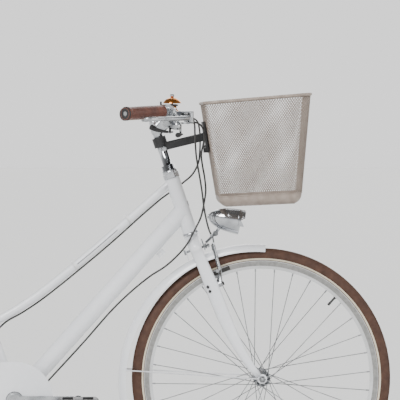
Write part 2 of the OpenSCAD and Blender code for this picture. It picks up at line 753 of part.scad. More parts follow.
// ---- lamp ----
module headlight_bracket() color("silver") {
    steered() {
        rotate([0, 90, 0]) translate([40, 0, -33]) cylinder(h = 72, r = 3);
        rotate([0, 90, 0]) translate([40, 0, 26]) cylinder(h = 5, r = 7, $fn = 6);
        rotate([0, 90, 0]) translate([40, 0, -33]) cylinder(h = 5, r = 7, $fn = 6);
        translate([22, -10, -50]) cube([3, 20, 32]);
    }
    for (s = [-1, 1]) {
        rod(at(-150, s * 8, 715), lamp_pivot + [0, s * 8, 0], 3);
        disc(lamp_pivot, s > 0 ? 4.9 : -11.2, s > 0 ? 11.2 : -4.9, 7);
    }
    disc(lamp_pivot, -15, 15, 2.5);
}

module lamp_frame() translate(lamp_front) rotate([0, 90 + lamp_tilt, 0]) children();

module headlight_shell() color("silver") {
    lamp_frame() {
        rotate_extrude() polygon(concat([[0, -84], [6, -83.5]], [for (t = [10 : 10 : 90]) [lamp_r * sin(t) * 0.98
            + 0.6, -84 * cos(t) * 0.97]], [[lamp_r, 6], [lamp_r - 1.5, 6], [lamp_r - 1.5, -10], [0, -42]]));
        difference() {
            cylinder(h = 16, r = lamp_r);
            translate([0, 0, -1]) cylinder(h = 20, r = lamp_r - 1.5);
            translate([10, -50, 0]) cube([60, 100, 40]);
            translate([-6, -50, 6]) rotate([0, -35, 0]) cube([70, 100, 40]);
        }
    }
    difference() {
        union() {
            rod(at(-112, 0, 756), lamp_pivot, 4.5);
            disc(lamp_pivot, -4.6, 4.6, 7);
        }
        disc(lamp_pivot, -20, 20, 2.55);
    }
}

module headlight_lens() color("lightblue") lamp_frame() rotate_extrude() polygon(concat([[0, -2],
    [lamp_r - 1.8, -2]], [for (t = [0 : 9 : 90]) [(lamp_r - 1.8) * cos(t), 2 + 6 * sin(t)]]));

// ---- front brake ----
module brake_arm(side) steered() difference() {
    union() {
        rod([28.4, side * boss[1], boss[2]], [36, side * boss[1], boss[2]], 8);
        rod([33, side * boss[1], boss[2]], [43, side * 42, -112], 5.5);
        rod([43, side * 42, -112], [48, side * 35, -44], 5);
    }
    rod([10, side * boss[1], boss[2]], [60, side * boss[1], boss[2]], 4.05);
}

module brake_pad(side) steered() {
    translate(pad) rotate([0, -pad_turn, 0]) translate([-31, side > 0 ? 13.6 : -23.6, -5]) cube([62, 10, 10]);
    rod([pad[0] + 2, side * 20, pad[2]], [pad[0] + 2, side * 40, pad[2]], 3);
}

module left_brake_arm() color("silver") brake_arm(1);

module right_brake_arm() color("silver") brake_arm(-1);

module left_brake_pad() color("black") brake_pad(1);

module right_brake_pad() color("black") brake_pad(-1);

// ---- cables ----
module cable(route) color("black") sweep(from_axle(route), cable_r, sides = 8, up = [0.2, 0.9, 0.4]);

module cable_clips() color("white") for (i = [2.4, 5.1]) {
    k = floor(i);
    here = mix(top_path[k], top_path[k + 1], i - k);
    t = unit(top_path[k + 1] - top_path[k]);
    below = [-t[2], 0, t[0]] * -14;
    rod(here - t * 5, here + t * 5, top_tube_d / 2 + 1.8);
    rod(here + below - t * 5, here + below + t * 5, cable_r + 1.8);
}

// ---- stand ----
module kickstand() color("silver") {
    bottom = rear_axle + [stand_foot[0], 0, stand_foot[1] - wheel_r];
    for (s = [-1, 1]) difference() {
        union() {
            disc(rear_axle, s > 0 ? 75 : -81, s > 0 ? 81 : -75, 15);
            rod(rear_axle + [4, s * stand_y[0], -12], bottom + [0, s * stand_y[1], 0], 6);
            rod(bottom + [0, s * 90, 0], bottom + [0, s * 150, 0], 7);
        }
        disc(rear_axle, -100, 100, 5.05);
    }
    rod(bottom + [0, -95, 0], bottom + [0, 95, 0], 5);
}

head_tube();
down_tube();
top_tube();
seat_tube();
bottom_bracket_shell();
chain_stays();
seat_stays();
headset_cups();
seat_clamp();
rear_fender();
chain_guard();
chain();
rear_axle_node();  // rear_axle
roller_brake();
roller_brake_arm();
rear_reflector();
cable_clips();
cable(rear_brake_route);  // rear_brake_cable
cable(shift_route);  // shift_cable
kickstand();
seatpost();
saddle();
right_crank();
chainring();
left_crank();
right_pedal();
left_pedal();
tyre(rear_x);  // rear_tyre
wheel_rim(rear_x);  // rear_rim
spokes(rear_x, spoke_circles[1]);  // rear_spokes
rear_hub();
rear_sprocket();
tyre(front_x);  // front_tyre
wheel_rim(front_x);  // front_rim
spokes(front_x, spoke_circles[0]);  // front_spokes
front_hub();
front_axle();
fork();
stem();
handlebar();
grips();
basket();
basket_bracket();
front_fender();
union() { lever_bracket(); color("silver") lever_ears(1); }
union() { shifter_housing(); color("silver") lever_ears(-1); }
left_brake_lever();
right_brake_lever();
thumb_lever();
release_lever();
bell();
bell_striker();
headlight_bracket();
headlight_shell();
headlight_lens();
left_brake_arm();
right_brake_arm();
left_brake_pad();
right_brake_pad();
cable(front_brake_route);  // front_brake_cable
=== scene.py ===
# White step-through city bicycle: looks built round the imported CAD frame.
import json
import math

import bmesh
import bpy
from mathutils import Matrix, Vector


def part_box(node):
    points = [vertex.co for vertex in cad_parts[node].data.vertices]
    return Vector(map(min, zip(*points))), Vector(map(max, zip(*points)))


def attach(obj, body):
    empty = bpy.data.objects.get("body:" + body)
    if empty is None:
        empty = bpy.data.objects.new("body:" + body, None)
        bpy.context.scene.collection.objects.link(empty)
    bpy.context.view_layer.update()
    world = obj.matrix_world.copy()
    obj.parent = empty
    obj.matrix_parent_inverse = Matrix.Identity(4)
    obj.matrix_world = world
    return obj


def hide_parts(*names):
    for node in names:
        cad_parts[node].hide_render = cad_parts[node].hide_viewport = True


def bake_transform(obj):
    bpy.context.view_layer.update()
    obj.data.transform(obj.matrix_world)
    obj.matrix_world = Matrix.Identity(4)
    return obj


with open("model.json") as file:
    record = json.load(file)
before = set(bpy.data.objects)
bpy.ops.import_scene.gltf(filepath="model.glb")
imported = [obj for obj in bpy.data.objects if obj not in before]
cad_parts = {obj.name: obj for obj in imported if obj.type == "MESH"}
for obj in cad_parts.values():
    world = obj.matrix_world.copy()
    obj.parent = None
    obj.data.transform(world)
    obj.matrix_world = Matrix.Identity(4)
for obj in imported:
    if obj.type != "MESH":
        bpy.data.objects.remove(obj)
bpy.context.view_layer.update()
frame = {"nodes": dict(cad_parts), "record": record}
print("frame loaded:", len(frame["nodes"]), "nodes")


def middle(node):
    low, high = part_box(node)
    return (Vector(low) + Vector(high)) / 2


frontAxle = middle("front_hub")
rearAxle = middle("rear_hub")
bodyOf = {n: b for b, nodes in frame["record"]["behaviour"]["bodies"].items() for n in nodes}
slotOf = {s["node"]: s["material_slot"] for s in frame["record"]["subparts"]}


def at(x, y, z):
    # Millimetres ahead of the front axle, to the left of the middle, and above the floor.
    return Vector((frontAxle.x + x / 1000, y / 1000, z / 1000))


# Turns an sRGB hex colour into the linear values that sockets take.
def linear(hexColour, alpha=1.0):
    parts = [int(hexColour[i:i + 2], 16) / 255 for i in (1, 3, 5)]
    return tuple(c / 12.92 if c <= 0.04045 else ((c + 0.055) / 1.055) ** 2.4 for c in parts) + (alpha,)


def addNode(tree, kind, inputs=None, **settings):
    node = tree.nodes.new(kind)
    for key, value in settings.items():
        setattr(node, key, value)
    for key, value in (inputs or {}).items():
        if isinstance(value, bpy.types.NodeSocket):
            tree.links.new(value, node.inputs[key])
        else:
            node.inputs[key].default_value = value
    return node


def ramp(tree, factor, stops):
    node = addNode(tree, "ShaderNodeValToRGB", {0: factor})
    bar = node.color_ramp
    while len(bar.elements) < len(stops):
        bar.elements.new(0.5)
    for element, (place, colour) in zip(bar.elements, stops):
        element.position = place
        element.color = colour if not isinstance(colour, str) else linear(colour)
    return node.outputs[0]


def grey(value):
    return (value, value, value, 1.0)


def startMaterial(name, **shaderInputs):
    material = bpy.data.materials.new(name)
    material.use_nodes = True
    tree = material.node_tree
    shader = tree.nodes["Principled BSDF"]
    for key, value in shaderInputs.items():
        shader.inputs[key.replace("_", " ")].default_value = value
    place = addNode(tree, "ShaderNodeTexCoord").outputs["Object"]
    return material, tree, shader, place


def grain(tree, place, size, detail=3.0, stretch=(1, 1, 1)):
    # Soft noise; size is the width of one grain in metres.
    scaled = addNode(tree, "ShaderNodeMapping", {"Vector": place, "Scale": stretch}).outputs[0]
    noise = addNode(tree, "ShaderNodeTexNoise", {"Vector": scaled, "Scale": 1 / size, "Detail": detail})
    return noise.outputs[0]


def wire(tree, shader, colour=None, rough=None, bumps=None, depth=0.0001, strength=0.3):
    if colour is not None:
        tree.links.new(colour, shader.inputs["Base Color"])
    if rough is not None:
        tree.links.new(rough, shader.inputs["Roughness"])
    if bumps is not None:
        bump = addNode(tree, "ShaderNodeBump", {"Height": bumps, "Distance": depth, "Strength": strength})
        tree.links.new(bump.outputs[0], shader.inputs["Normal"])


# Stove enamel over steel: deep gloss, very faint orange peel about 2 mm across.
def stoveEnamel():
    material, tree, shader, place = startMaterial("stoveEnamelWhite", Coat_Weight=0.6, Coat_Roughness=0.06)
    shade = ramp(tree, grain(tree, place, 0.12), [(0.3, "#E4E6EA"), (0.7, "#ECEDF0")])
    rough = ramp(tree, grain(tree, place, 0.02, 6), [(0.35, grey(0.2)), (0.75, grey(0.32))])
    wire(tree, shader, shade, rough, grain(tree, place, 0.002, 1), 0.00004, 0.25)
    return material


# Bright metal: plated or polished, with hairlines and a few dull patches.
def brightMetal(name, pale, dull, low, high, hair=0.0006, stretch=(1, 1, 1)):
    material, tree, shader, place = startMaterial(name, Metallic=1.0)
    shade = ramp(tree, grain(tree, place, 0.03, 4), [(0.3, dull), (0.65, pale)])
    rough = ramp(tree, grain(tree, place, 0.012, 8), [(0.3, grey(low)), (0.8, grey(high))])
    wire(tree, shader, shade, rough, grain(tree, place, hair, 2, stretch), 0.00003, 0.2)
    return material


def radiusFrom(tree, place, centre):
    # Distance from the axle, measured in the wheel's plane.
    ends = {0: place, 1: tuple(centre)}
    offset = addNode(tree, "ShaderNodeVectorMath", ends, operation="SUBTRACT").outputs[0]
    flat = addNode(tree, "ShaderNodeVectorMath", {0: offset, 1: (1, 0, 1)}, operation="MULTIPLY").outputs[0]
    return addNode(tree, "ShaderNodeVectorMath", {0: flat}, operation="LENGTH").outputs["Value"]


def band(tree, value, low, high):
    above = addNode(tree, "ShaderNodeMath", {0: value, 1: low}, operation="GREATER_THAN").outputs[0]
    below = addNode(tree, "ShaderNodeMath", {0: value, 1: high}, operation="LESS_THAN").outputs[0]
    return addNode(tree, "ShaderNodeMath", {0: above, 1: below}, operation="MULTIPLY").outputs[0]


def blendColour(tree, factor, first, second):
    node = addNode(tree, "ShaderNodeMix", data_type="RGBA")
    for socket, value in ((node.inputs[0], factor), (node.inputs[6], first), (node.inputs[7], second)):
        if isinstance(value, bpy.types.NodeSocket):
            tree.links.new(value, socket)
        else:
            socket.default_value = value
    return node.outputs[2]


# Extruded alloy rim: bright anodised inner band, turned brake track with fine rings and pad dust.
rimFinish = {"trackInner": 0.3025, "trackOuter": 0.3155, "ringPitch": 0.0012}


def turnedRim(name, centre):
    material, tree, shader, place = startMaterial(name, Metallic=1.0)
    radius = radiusFrom(tree, place, centre)
    turns = {0: radius, 1: 2 * math.pi / rimFinish["ringPitch"]}
    rings = addNode(tree, "ShaderNodeMath", turns, operation="MULTIPLY").outputs[0]
    wave = addNode(tree, "ShaderNodeMath", {0: rings}, operation="SINE").outputs[0]
    track = band(tree, radius, rimFinish["trackInner"], rimFinish["trackOuter"])
    dust = ramp(tree, grain(tree, place, 0.01, 6), [(0.3, "#8E8E8C"), (0.7, "#A9A8A5")])
    bright = ramp(tree, grain(tree, place, 0.05, 3), [(0.3, "#D6D7D8"), (0.7, "#E8E9EA")])
    shade = blendColour(tree, track, bright, dust)
    rough = ramp(tree, track, [(0, grey(0.24)), (1, grey(0.42))])
    height = addNode(tree, "ShaderNodeMath", {0: wave, 1: track}, operation="MULTIPLY").outputs[0]
    wire(tree, shader, shade, rough, height, 0.00003, 0.25)
    return material


# Brown vulcanised rubber with a cream reflective line and a brown that varies at random.
reflectiveLine = {"inner": 0.3185, "outer": 0.3232}


def tyreRubber(name, centre):
    material, tree, shader, place = startMaterial(name, Specular_IOR_Level=0.35)
    radius = radiusFrom(tree, place, centre)
    base = ramp(tree, grain(tree, place, 0.02, 6), [(0.3, "#3F2A21"), (0.7, "#51382C")])
    cream = ramp(tree, grain(tree, place, 0.01, 4), [(0.3, "#CFC4AC"), (0.7, "#DED5C0")])
    line = band(tree, radius, reflectiveLine["inner"], reflectiveLine["outer"])
    shade = blendColour(tree, line, base, cream)
    rough = ramp(tree, grain(tree, place, 0.006, 5), [(0.3, grey(0.62)), (0.8, grey(0.85))])
    wire(tree, shader, shade, rough, grain(tree, place, 0.0012, 4), 0.0001, 0.4)
    return material


# Moulded or extruded polymer: faint mould texture, small changes of gloss.
def mouldedPolymer(name, dark, pale, low, high, size=0.0008, depth=0.00005):
    material, tree, shader, place = startMaterial(name)
    shade = ramp(tree, grain(tree, place, 0.02, 4), [(0.3, dark), (0.7, pale)])
    rough = ramp(tree, grain(tree, place, 0.008, 6), [(0.3, grey(low)), (0.8, grey(high))])
    wire(tree, shader, shade, rough, grain(tree, place, size, 2), depth, 0.35)
    return material


# Pull-up leather: pebbled grain about 1.6 mm across, with painted shade in the creases between pebbles and a
# tone that is darker in random patches.
def pebbledLeather(name, dark, pale):
    material, tree, shader, place = startMaterial(name, Sheen_Weight=0.1)
    cells = {"Vector": place, "Scale": 1 / 0.0016}
    pebble = addNode(tree, "ShaderNodeTexVoronoi", cells, feature="SMOOTH_F1")
    tone = grain(tree, place, 0.03, 6)
    shade = ramp(tree, tone, [(0.3, dark), (0.72, pale)])
    # Painted shade: the leather darkens towards the edges of each pebble cell, and the same value is the
    # bump height.
    creaseHeightAndShade = ramp(tree, pebble.outputs[0], [(0.25, grey(1.0)), (0.75, grey(0.55))])
    # The painted crease shade is multiplied into the leather colour.
    leatherWithPaintedShade = addNode(tree, "ShaderNodeMix", {0: 1.0}, data_type="RGBA", blend_type="MULTIPLY")
    tree.links.new(shade, leatherWithPaintedShade.inputs[6])
    tree.links.new(creaseHeightAndShade, leatherWithPaintedShade.inputs[7])
    rough = ramp(tree, grain(tree, place, 0.01, 6), [(0.3, grey(0.42)), (0.8, grey(0.62))])
    wire(tree, shader, leatherWithPaintedShade.outputs[2], rough, creaseHeightAndShade, 0.00025, 0.5)
    return material


# Clear moulded polycarbonate: thin, slightly grey, with vertical flutes about 2.6 mm apart.
def clearLens():
    material, tree, shader, place = startMaterial(
        "polycarbonateClear", Transmission_Weight=0.85, IOR=1.58, Alpha=0.55)
    shade = ramp(tree, grain(tree, place, 0.02), [(0.3, "#E9EEF0"), (0.7, "#F6F8F9")])
    rough = ramp(tree, grain(tree, place, 0.01, 4), [(0.3, grey(0.04)), (0.8, grey(0.1))])
    bands = {"Vector": place, "Scale": 120.0}
    flutes = addNode(tree, "ShaderNodeTexWave", bands, bands_direction="Y").outputs[1]
    wire(tree, shader, shade, rough, flutes, 0.0004, 0.4)
    return material


white = stoveEnamel()
# Plating is close to a mirror, cast alloy has a softer shine, and zinc is grey and half dull.
chrome = brightMetal("chromePlatedSteel", "#C8CACD", "#A4A7AB", 0.06, 0.15)
alloy = brightMetal("polishedCastAlloy", "#C4C6C8", "#9C9FA2", 0.18, 0.34)
zinc = brightMetal("zincPlatedSteel", "#B9BBBD", "#8F9193", 0.28, 0.45)
chainSteel = brightMetal("oiledChainSteel", "#77736D", "#45413C", 0.3, 0.5)
copper = brightMetal("spunCopperLacquered", "#D08A46", "#A3602A", 0.14, 0.28, 0.0005, (1, 1, 0.1))
# Powder coat is satin, moulded nylon a little duller, and pad rubber has no shine.
blackPaint = mouldedPolymer("satinBlackPowderCoat", "#161617", "#232325", 0.38, 0.55, 0.0015)
blackPlastic = mouldedPolymer("mouldedBlackNylon", "#1B1B1C", "#2B2A2A", 0.42, 0.6)
cableSkin = mouldedPolymer("extrudedCableHousing", "#262626", "#383736", 0.3, 0.42, 0.003)
padRubber = mouldedPolymer("mouldedPadRubber", "#1A1918", "#2C2A28", 0.6, 0.85)
whitePlastic = mouldedPolymer("mouldedWhiteNylon", "#DEDFE0", "#ECECEC", 0.35, 0.5)
redLens = mouldedPolymer("mouldedRedPrism", "#7E0C0C", "#A81616", 0.12, 0.25, 0.004, 0.0006)
threadCream = mouldedPolymer("waxedLinenThread", "#A98F6C", "#C9B48F", 0.6, 0.8, 0.0006, 0.0002)
meshPaint = mouldedPolymer("taupePowderCoatedMesh", "#877A70", "#A2958A", 0.42, 0.6, 0.0012)
# Both leathers are red-brown; the saddle's is paler.
gripLeather = pebbledLeather("stitchedGripLeather", "#4A2318", "#6B3826")
saddleLeather = pebbledLeather("saddleLeather", "#5A2E1D", "#80482F")
lensClear = clearLens()
badgeDark = mouldedPolymer("enamelledBadge", "#3A3C40", "#55585E", 0.2, 0.3)
frontRimMetal = turnedRim("turnedFrontRim", frontAxle)
rearRimMetal = turnedRim("turnedRearRim", rearAxle)
frontTyreRubber = tyreRubber("brownFrontTyreRubber", frontAxle)
rearTyreRubber = tyreRubber("brownRearTyreRubber", rearAxle)
print("materials made:", len(bpy.data.materials))


def finishMesh(name, mesh, material, smoothAngle=40.0):
    work = bmesh.new()
    work.from_mesh(mesh)
    bmesh.ops.remove_doubles(work, verts=work.verts, dist=0.000005)
    bmesh.ops.recalc_face_normals(work, faces=work.faces)
    work.to_mesh(mesh)
    work.free()
    mesh.polygons.foreach_set("use_smooth", [True] * len(mesh.polygons))
    mesh.set_sharp_from_angle(angle=math.radians(smoothAngle))
    mesh.materials.clear()
    mesh.materials.append(material)
    piece = bpy.data.objects.new(name, mesh)
    bpy.context.scene.collection.objects.link(piece)
    return piece


def meshObject(name, points, faces, material, smoothAngle=40.0):
    mesh = bpy.data.meshes.new(name)
    mesh.from_pydata([tuple(p) for p in points], [], faces)
    return finishMesh(name, mesh, material, smoothAngle)


def settle(piece, body, slot, *replaced):
    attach(piece, body)
    if replaced:
        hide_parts(*replaced)
    return piece


def smoothPath(points, step):
    # Catmull-Rom through the given points, one ring about every step.
    points = [Vector(p) for p in points]
    dense = [points[0]]
    for i in range(len(points) - 1):
        a, b = points[max(i - 1, 0)], points[i]
        c, d = points[i + 1], points[min(i + 2, len(points) - 1)]
        count = max(1, round((c - b).length / step))
        for k in range(1, count + 1):
            t = k / count
            dense.append(0.5 * ((2 * b) + (c - a) * t + (2 * a - 5 * b + 4 * c - d) * t * t
                                + (3 * b - a - 3 * c + d) * t ** 3))
    return dense


def ringFaces(rings, sides, closed=False):
    # Quads between neighbouring rings of points, with flat ends unless the last ring meets the first.
    spans = rings if closed else rings - 1
    faces = []
    for i in range(spans):
        here, there = i * sides, (i + 1) % rings * sides
        faces += [(here + k, here + (k + 1) % sides, there + (k + 1) % sides, there + k)
                  for k in range(sides)]
    if not closed:
        faces += [tuple(range(sides)), tuple(spans * sides + k for k in reversed(range(sides)))]
    return faces


def tube(name, path, radius, material, sides=12, closed=False):
    rings, count = [], len(path)
    side = None
    for i, p in enumerate(path):
        ahead = path[(i + 1) % count] if closed else path[min(i + 1, count - 1)]
        behind = path[i - 1] if closed else path[max(i - 1, 0)]
        way = (ahead - behind).normalized()
        if side is None:
            side = way.cross(Vector((0.13, 0.3, 1))).normalized()
        side = (side - way * side.dot(way)).normalized()
        other = way.cross(side)
        for k in range(sides):
            turn = 2 * math.pi * k / sides
            rings.append(p + side * radius * math.cos(turn) + other * radius * math.sin(turn))
    return meshObject(name, rings, ringFaces(count, sides, closed), material)


def lathe(name, profile, base, axis, material, segments=48, smoothAngle=35.0, closed=False):
    # profile is (distance along the axis, radius) in millimetres.
    axis = Vector(axis).normalized()
    side = axis.orthogonal().normalized()
    other = axis.cross(side)
    turns = [2 * math.pi * k / segments for k in range(segments)]
    points = [Vector(base) + axis * (a / 1000) + (side * math.cos(t) + other * math.sin(t)) * (r / 1000)
              for a, r in profile for t in turns]
    return meshObject(name, points, ringFaces(len(profile), segments, closed), material, smoothAngle)


# Each tree takes a mesh of edges and lays wire or thread along it.
def newTree(name, sockets):
    tree = bpy.data.node_groups.new(name, "GeometryNodeTree")
    tree.interface.new_socket("Geometry", in_out="INPUT", socket_type="NodeSocketGeometry")
    tree.interface.new_socket("Geometry", in_out="OUTPUT", socket_type="NodeSocketGeometry")
    for label, kind, value in sockets:
        socket = tree.interface.new_socket(label, in_out="INPUT", socket_type=kind)
        if value is not None:
            socket.default_value = value
    return tree, tree.nodes.new("NodeGroupInput"), tree.nodes.new("NodeGroupOutput")


def bake(name, carrier, tree, values, body, slot, replaced=()):
    # Sets the inputs by identifier, evaluates, and keeps a plain mesh.
    modifier = carrier.modifiers.new("build", "NODES")
    modifier.node_group = tree
    for item in tree.interface.items_tree:
        if item.item_type == "SOCKET" and item.in_out == "INPUT" and item.name in values:
            modifier[item.identifier] = values[item.name]
    evaluated = carrier.evaluated_get(bpy.context.evaluated_depsgraph_get())
    mesh = bpy.data.meshes.new_from_object(evaluated)
    bpy.data.objects.remove(carrier)
    piece = bpy.data.objects.new(name, mesh)
    bpy.context.scene.collection.objects.link(piece)
    return settle(piece, body, slot, *replaced)


def strandTree():
    # Expanded metal: every edge of the lattice becomes a thin square strand.
    tree, start, end = newTree("expandedMetal", [("Strand Radius", "NodeSocketFloat", 0.0006),
                                                 ("Finish", "NodeSocketMaterial", None)])
    strands = addNode(tree, "GeometryNodeMeshToCurve", {"Mesh": start.outputs["Geometry"]})
    profile = addNode(tree, "GeometryNodeCurvePrimitiveCircle", {
        "Resolution": 4, "Radius": start.outputs["Strand Radius"]})
    solid = addNode(tree, "GeometryNodeCurveToMesh", {
        "Curve": strands.outputs[0], "Profile Curve": profile.outputs[0], "Fill Caps": False})
    real = addNode(tree, "GeometryNodeRealizeInstances", {0: solid.outputs[0]})
    painted = addNode(tree, "GeometryNodeSetMaterial", {
        "Geometry": real.outputs[0], "Material": start.outputs["Finish"]})
    tree.links.new(painted.outputs[0], end.inputs[0])
    return tree


def stitchTree():
    # Short thread capsules laid end to end along a seam.
    tree, start, end = newTree("stitches", [("Pitch", "NodeSocketFloat", 0.005),
                                            ("Thread Radius", "NodeSocketFloat", 0.0005),
                                            ("Stitch Length", "NodeSocketFloat", 0.0032),
                                            ("Finish", "NodeSocketMaterial", None)])
    seam = addNode(tree, "GeometryNodeMeshToCurve", {"Mesh": start.outputs["Geometry"]})
    points = addNode(tree, "GeometryNodeCurveToPoints", {
        "Curve": seam.outputs[0], "Length": start.outputs["Pitch"]}, mode="LENGTH")
    thread = addNode(tree, "GeometryNodeMeshCylinder", {
        "Vertices": 6, "Radius": start.outputs["Thread Radius"], "Depth": start.outputs["Stitch Length"]})
    turn = addNode(tree, "FunctionNodeAlignRotationToVector", {
        "Vector": points.outputs["Tangent"]}, axis="Z")
    placed = addNode(tree, "GeometryNodeInstanceOnPoints", {
        "Points": points.outputs[0], "Instance": thread.outputs[0], "Rotation": turn.outputs[0]})
    real = addNode(tree, "GeometryNodeRealizeInstances", {0: placed.outputs[0]})
    painted = addNode(tree, "GeometryNodeSetMaterial", {
        "Geometry": real.outputs[0], "Material": start.outputs["Finish"]})
    tree.links.new(painted.outputs[0], end.inputs[0])
    return tree


def edgeObject(points, edges):
    mesh = bpy.data.meshes.new("edges")
    mesh.from_pydata([tuple(p) for p in points], edges, [])
    carrier = bpy.data.objects.new("edges", mesh)
    bpy.context.scene.collection.objects.link(carrier)
    return carrier


strands = strandTree()
stitches = stitchTree()


threadSizes = {"Pitch": 0.0055, "Thread Radius": 0.0006, "Stitch Length": 0.0036}


def seam(name, path, body):
    edges = [(i, i + 1) for i in range(len(path) - 1)]
    values = {**threadSizes, "Finish": threadCream}
    return bake(name, edgeObject(path, edges), stitches, values, body, "brown_leather")


# Outline points in millimetres, as (x, z) from the front axle; the floor and the rim both slope.
basketSizes = {
    "low": ((-119, 814), (102, 824)), "high": ((-160, 1091), (123, 1115)), "lowWidth": 270, "highWidth": 350,
    "span": 282, "footCorner": 25, "corner": 30, "columns": 176, "rows": 27, "strand": 0.00068,
    "floorRows": 28, "floorColumns": 50, "floorStrand": 0.0008, "floorLift": 0.8, "rimRadius": 0.0042,
    "rimDrop": 0.5, "bandWall": 0.9, "bandEdge": 0.0013,
    "bandHeights": (0.2, 1, 2.5, 5, 8.5, 13, 18, 25, 28)}


def lineHeight(line, x):
    (xa, za), (xb, zb) = line
    return za + (x - xa) * (zb - za) / (xb - xa)


def basketOutline(height, count, push=0.0):
    # One loop round the basket wall, height in mm above its floor; push moves it outward.
    s = basketSizes
    foot = s["footCorner"]
    t = height / s["span"]
    grow = max(0, (height - foot) / (s["span"] - foot))
    tuck = foot - math.sqrt(foot ** 2 - max(0, foot - height) ** 2)
    x0 = s["low"][0][0] + (s["high"][0][0] - s["low"][0][0]) * grow + tuck - push
    x1 = s["low"][1][0] + (s["high"][1][0] - s["low"][1][0]) * grow - tuck + push
    half = (s["lowWidth"] + (s["highWidth"] - s["lowWidth"]) * grow) / 2 - tuck + push
    r = max(foot - tuck, 0.4) + (s["corner"] - foot) * grow + push
    dx, dy = x1 - x0 - 2 * r, 2 * half - 2 * r
    arc = math.pi * r / 2
    total = 2 * dx + 2 * dy + 4 * arc
    found = []
    for i in range(count):
        d = total * i / count
        for length, cx, cy, turn in ((dy, x1 - r, half - r, 0), (dx, x0 + r, half - r, 90),
                                     (dy, x0 + r, r - half, 180), (dx, x1 - r, r - half, 270)):
            along = math.radians(turn)
            if d <= length:
                back = length - d
                x = cx + r * math.cos(along) + back * math.sin(along)
                y = cy + r * math.sin(along) - back * math.cos(along)
                break
            d -= length
            if d <= arc:
                x, y = cx + r * math.cos(along + d / r), cy + r * math.sin(along + d / r)
                break
            d -= arc
        found.append(at(x, y, lineHeight(s["low"], x) * (1 - t) + lineHeight(s["high"], x) * t))
    return found


def makeBasketWalls():
    # Diamond lattice: each row of points is shifted half a step from the one below.
    s = basketSizes
    columns, rows, bottom = s["columns"], s["rows"], s["bandHeights"][-1]
    points, edges = [], []
    for j in range(2 * rows + 1):
        ring = basketOutline(bottom + (s["span"] - 3 - bottom) * j / (2 * rows), 2 * columns)
        points += [ring[2 * i + j % 2] for i in range(columns)]
    for j in range(2 * rows):
        for i in range(columns):
            here = j * columns + i
            other = (i - 1) % columns if j % 2 == 0 else (i + 1) % columns
            edges += [(here, here + columns), (here, (j + 1) * columns + other)]
    bake("basket_mesh_walls", edgeObject(points, edges), strands, {
        "Strand Radius": s["strand"], "Finish": meshPaint}, "steering", "basket_mesh", ("basket",))


def makeBasketFloor():
    s = basketSizes
    outline = basketOutline(s["floorLift"], 400)
    x0, x1 = min(p.x for p in outline), max(p.x for p in outline)
    y1 = max(p.y for p in outline)
    stepX, stepY = (x1 - x0) / s["floorRows"], 2 * y1 / s["floorColumns"]
    points, edges, known = [], [], {}
    for i in range(s["floorRows"] + 1):
        x = x0 + i * stepX
        z = (lineHeight(s["low"], (x - frontAxle.x) * 1000) + s["floorLift"]) / 1000
        for j in range(s["floorColumns"] + 1):
            if (i + j) % 2 == 0:
                known[i, j] = len(points)
                points.append(Vector((x, -y1 + j * stepY, z)))
    for (i, j), here in known.items():
        edges += [(here, known[i + 1, k]) for k in (j - 1, j + 1) if (i + 1, k) in known]
    bake("basket_mesh_floor", edgeObject(points, edges), strands, {
        "Strand Radius": s["floorStrand"], "Finish": meshPaint}, "steering", "basket_mesh")


def makeBasketEdges():
    # The rolled wire at the rim, the plain band round the foot, and the bead along the band's top.
    s = basketSizes
    heights, count = s["bandHeights"], 240
    for name, loop, radius, sides in (
            ("basket_rim", basketOutline(s["span"] - s["rimDrop"], 200), s["rimRadius"], 12),
            ("basket_band_edge", basketOutline(heights[-1], 200, 0.3), s["bandEdge"], 8)):
        settle(tube(name, loop, radius, meshPaint, sides, True), "steering", "basket_mesh")
    shells = [basketOutline(h, count) for h in heights]
    shells += [basketOutline(h, count, -s["bandWall"]) for h in reversed(heights)]
    points = [p for shell in shells for p in shell]
    foot = meshObject("basket_band", points, ringFaces(len(shells), count, True), meshPaint)
    settle(foot, "steering", "basket_mesh")


# Tyre section and valve, in millimetres; the valve leans from upright by its angle.
tyreSizes = {
    "middle": 331, "radius": 18.9, "segments": 200,
    "grooves": (4.5, 10.5), "groove": 1.3, "grooveHalf": 0.75,
    "bead": ((8.8, 314), (8.8, 307), (-8.8, 307), (-8.8, 314)), "valveAngle": 42.8,
    "valve": ((266, 0.5), (266.5, 3.4), (275, 3.6), (276, 3.0), (278, 3.0), (292, 3.0), (292.2, 4.6),
              (294.3, 4.6))}


def makeTyre(name, centre, body, material):
    s = tyreSizes
    section = []
    for degree in range(-128, 129, 4):
        a = math.radians(degree)
        y, r = s["radius"] * math.sin(a), s["middle"] + s["radius"] * math.cos(a)
        near = min(abs(abs(y) - g) for g in s["grooves"]) if r > s["middle"] else 9
        section.append((y, r - (s["groove"] if near < s["grooveHalf"] else 0)))
    section += s["bead"]
    casing = lathe(name, section, centre, (0, 1, 0), material, s["segments"], 50.0, True)
    settle(casing, body, "brown_tyre", name)
    lean = math.radians(s["valveAngle"])
    valve = lathe(name + "_valve", s["valve"], centre, (math.sin(lean), 0, math.cos(lean)), blackPlastic, 20)
    settle(valve, body, "black_plastic")


